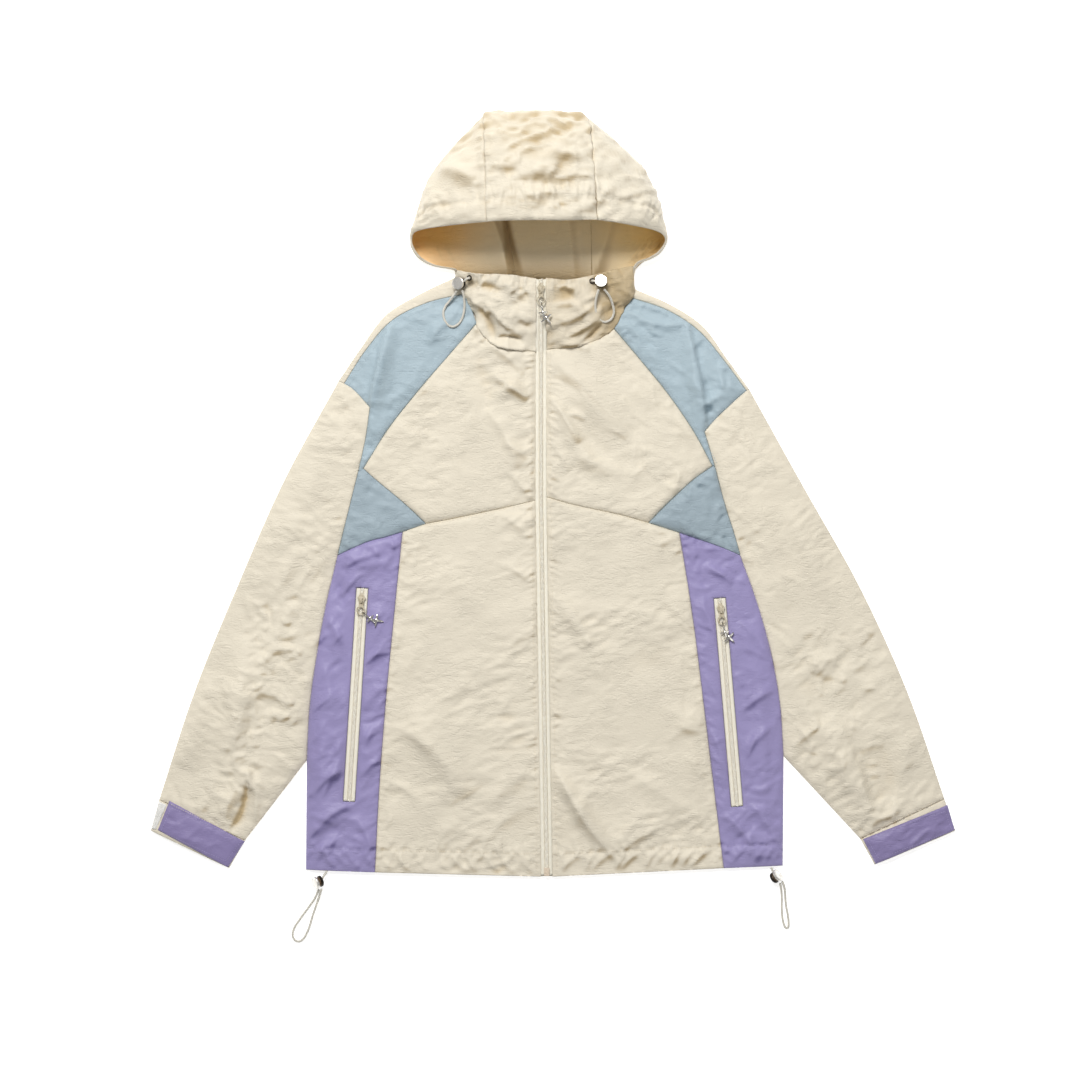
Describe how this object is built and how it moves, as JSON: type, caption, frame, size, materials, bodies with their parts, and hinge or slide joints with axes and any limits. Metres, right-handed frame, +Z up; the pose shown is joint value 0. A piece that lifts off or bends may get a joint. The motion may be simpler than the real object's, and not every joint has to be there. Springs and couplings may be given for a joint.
{
  "type": "hooded windbreaker jacket laid flat",
  "caption": "Hooded windbreaker laid flat on its back: cream body, blue shoulder panels, purple side panels, full front zip, zipped pockets, toggled hood and hem cords, tabbed cuffs.",
  "frame": {"origin": "on the floor under the middle of the garment's box, cords left out", "axes": "+X towards the wearer's left sleeve, +Y from the hem to the hood, +Z up from the floor"},
  "size_m": [0.9646, 0.9973, 0.0873],
  "materials": {
    "cream": "matt crisp nylon, cream",
    "blue": "matt crisp nylon, grey blue",
    "purple": "smooth nylon, soft sheen, lilac",
    "zip": "moulded coil on woven tape, beige",
    "enamel": "cream enamel on cast metal",
    "silver": "polished silver plating",
    "gunmetal": "dark plated steel",
    "cord": "round elastic cord, off white",
    "hook_tape": "white hook tape"
  },
  "bodies": {
    "jacket": {"back": "cream", "collar_l": "cream", "collar_r": "cream", "cuff_tab_l": "purple", "cuff_tab_r": "purple", "cuff_top_l": "cream", "cuff_top_r": "cream", "cuff_under_l": "cream", "cuff_under_r": "cream", "eyelet_l": "gunmetal", "eyelet_r": "gunmetal", "front_chest_l": "cream", "front_chest_r": "cream", "front_lower_l": "cream", "front_lower_r": "cream", "front_shoulder_l": "blue", "front_shoulder_r": "blue", "front_triangle_l": "blue", "front_triangle_r": "blue", "hem_cord_l": "cord", "hem_cord_r": "cord", "hem_lock_l": "gunmetal", "hem_lock_r": "gunmetal", "hood_centre": "cream", "hood_cord_l": "cord", "hood_cord_r": "cord", "hood_lock_l": "silver", "hood_lock_r": "silver", "hood_side_l": "cream", "hood_side_r": "cream", "hook_patch_r": "hook_tape", "main_slider": "enamel", "pocket_l_slider": "enamel", "pocket_r_slider": "enamel", "pocket_zip_l": "zip", "pocket_zip_r": "zip", "shoulder_strip_l": "cream", "shoulder_strip_r": "cream", "side_panel_l": "purple", "side_panel_r": "purple", "sleeve_top_l": "cream", "sleeve_top_r": "cream", "sleeve_under_l": "cream", "sleeve_under_r": "cream", "zip_box": "zip", "zip_tape_l": "zip", "zip_tape_r": "zip"},
    "main_pull": {"main_pull": "enamel", "main_ring": "gunmetal", "main_star": "silver"},
    "pocket_r_pull": {"pocket_r_pull": "enamel", "pocket_r_ring": "gunmetal", "pocket_r_star": "silver"},
    "pocket_l_pull": {"pocket_l_pull": "enamel", "pocket_l_ring": "gunmetal", "pocket_l_star": "silver"}
  },
  "joints": [
    {"name": "main_pull_swing", "type": "hinge", "parent": "jacket", "child": "main_pull", "pos_m": [-0.0145, 0.2419, 0.03084], "axis": [-1, 0, 0], "range_deg": [0, 150]},
    {"name": "pocket_r_pull_swing", "type": "hinge", "parent": "jacket", "child": "pocket_r_pull", "pos_m": [-0.22941, -0.12767, 0.01156], "axis": [-0.9981, 0.0624, 0], "range_deg": [0, 150]},
    {"name": "pocket_l_pull_swing", "type": "hinge", "parent": "jacket", "child": "pocket_l_pull", "pos_m": [0.20072, -0.13965, 0.01157], "axis": [-0.9965, -0.0837, 0], "range_deg": [0, 150]}
  ]
}
